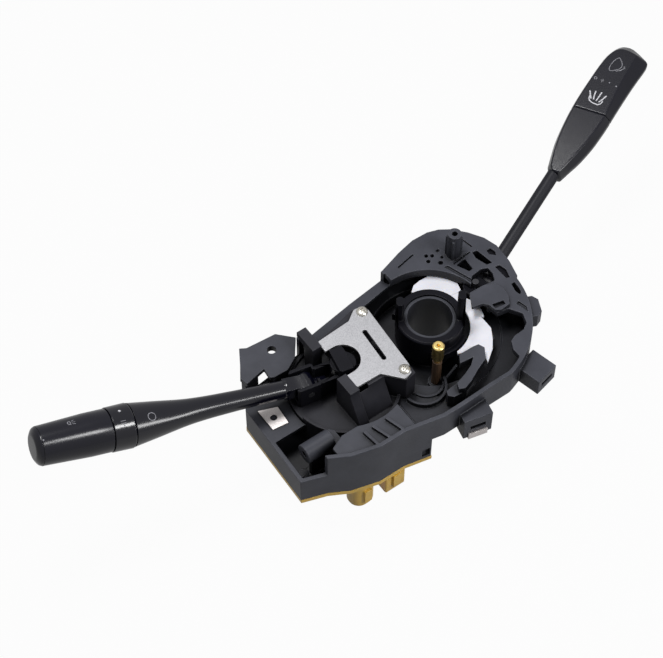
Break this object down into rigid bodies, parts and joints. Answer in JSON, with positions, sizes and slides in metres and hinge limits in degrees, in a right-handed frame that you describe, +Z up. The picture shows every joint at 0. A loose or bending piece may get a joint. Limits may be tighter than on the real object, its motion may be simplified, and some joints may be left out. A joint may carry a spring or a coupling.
{
  "type": "combination stalk switch",
  "caption": "Steering column switch body with a turn signal and lighting lever, a wiper and washer lever, and a cancelling cam round the column.",
  "frame": {"origin": "on the steering column axis, at the lower end of the column collar", "axes": "+X towards the wiper lever, +Y towards the top of the steering wheel, +Z up the column towards the driver"},
  "size_m": [0.4565, 0.1483, 0.109],
  "materials": {
    "housing_plastic": "charcoal moulded plastic, matte",
    "switch_plastic": "black moulded plastic, low satin",
    "lever_plastic": "black moulded plastic, satin to gloss",
    "knob_plastic": "black moulded plastic with fine grain",
    "aluminium_plate": "rolled sheet, satin",
    "plated_steel": "zinc plated",
    "spring_steel": "plated spring sheet",
    "brass": "turned brass",
    "nylon": "natural white nylon",
    "phenolic": "brown insulating sleeve",
    "amber_plastic": "translucent amber moulded plastic"
  },
  "bodies": {
    "housing": {"main_housing": "housing_plastic", "turn_signal_case": "switch_plastic", "retaining_plate": "aluminium_plate", "plate_screws": "plated_steel", "turn_pivot_pin": "plated_steel", "turn_fixed_contacts": "brass", "horn_contact_sleeve": "phenolic", "horn_contact_spring": "plated_steel", "nylon_guide_plate": "nylon", "wire_guide": "switch_plastic", "wiper_pivot_pin": "plated_steel", "wiper_switch_cover": "housing_plastic", "contact_base_plate": "amber_plastic", "lighting_connector": "amber_plastic", "lighting_terminals": "brass", "turn_connector": "amber_plastic", "turn_terminals": "brass", "wiper_base_plate": "amber_plastic", "wiper_connector": "amber_plastic", "wiper_terminals": "brass", "base_screws": "plated_steel", "left_spring_nut": "spring_steel", "front_spring_nut": "spring_steel", "left_bracket": "housing_plastic"},
    "cancel_cam": {"cancel_cam": "switch_plastic"},
    "turn_carrier": {"turn_carrier": "switch_plastic", "turn_contact_slider": "switch_plastic", "dimmer_pivot_pin": "plated_steel"},
    "cancel_pawl": {"cancel_pawl": "nylon"},
    "left_lever": {"left_stalk": "lever_plastic", "index_ring": "lever_plastic"},
    "light_knob": {"light_knob": "knob_plastic", "knob_end_cap": "knob_plastic", "light_rotor": "nylon"},
    "dimmer_plunger": {"dimmer_plunger": "nylon"},
    "horn_contact": {"horn_contact_pin": "brass"},
    "wiper_carrier": {"wiper_carrier": "switch_plastic", "washer_pivot_pin": "plated_steel"},
    "right_lever": {"right_rod": "lever_plastic", "paddle_body": "lever_plastic", "paddle_cap": "knob_plastic"}
  },
  "joints": [
    {"name": "cancel_cam_spin", "type": "hinge", "parent": "housing", "child": "cancel_cam", "pos_m": [0, 0, 0.03], "axis": [0, 0, 1], "continuous": true},
    {"name": "turn_signal_swing", "type": "hinge", "parent": "housing", "child": "turn_carrier", "pos_m": [-0.06, 0.0035, 0.03], "axis": [0, 0, 1], "range_deg": [-10, 10]},
    {"name": "cancel_pawl_pivot", "type": "hinge", "parent": "turn_carrier", "child": "cancel_pawl", "pos_m": [-0.04529, 0.00056, 0.028], "axis": [0, 0, 1], "range_deg": [-8, 8], "stiffness_Nm_per_rad": 0.05},
    {"name": "dimmer_pull", "type": "hinge", "parent": "turn_carrier", "child": "left_lever", "pos_m": [-0.08255, 0.00801, 0.031], "axis": [0.1959, 0.9806, 0], "range_deg": [-5, 7], "stiffness_Nm_per_rad": 8},
    {"name": "light_knob_turn", "type": "hinge", "parent": "left_lever", "child": "light_knob", "pos_m": [-0.08255, 0.00801, 0.031], "axis": [-0.9527, 0.1904, 0.2368], "range_deg": [0, 60]},
    {"name": "dimmer_plunger_slide", "type": "slide", "parent": "turn_carrier", "child": "dimmer_plunger", "axis": [0, 0, 1], "range_m": [-0.0012, 0.0009]},
    {"name": "horn_contact_press", "type": "slide", "parent": "housing", "child": "horn_contact", "axis": [0, 0, -1], "range_m": [0, 0.003], "stiffness_N_per_m": 400, "springref_m": -0.002, "deforming": ["horn_contact_spring"]},
    {"name": "wiper_swing", "type": "hinge", "parent": "housing", "child": "wiper_carrier", "pos_m": [0.038, 0.0053, 0.028], "axis": [0, 0, 1], "range_deg": [-21, 0]},
    {"name": "washer_pull", "type": "hinge", "parent": "wiper_carrier", "child": "right_lever", "pos_m": [0.04951, 0.00965, 0.0249], "axis": [0.3535, -0.9354, 0], "range_deg": [0, 4.5], "stiffness_Nm_per_rad": 10, "springref_deg": -1.72}
  ],
  "couplings": [
    {"joint": "dimmer_plunger_slide", "follows": "dimmer_pull", "m_per_rad": -0.0097}
  ]
}
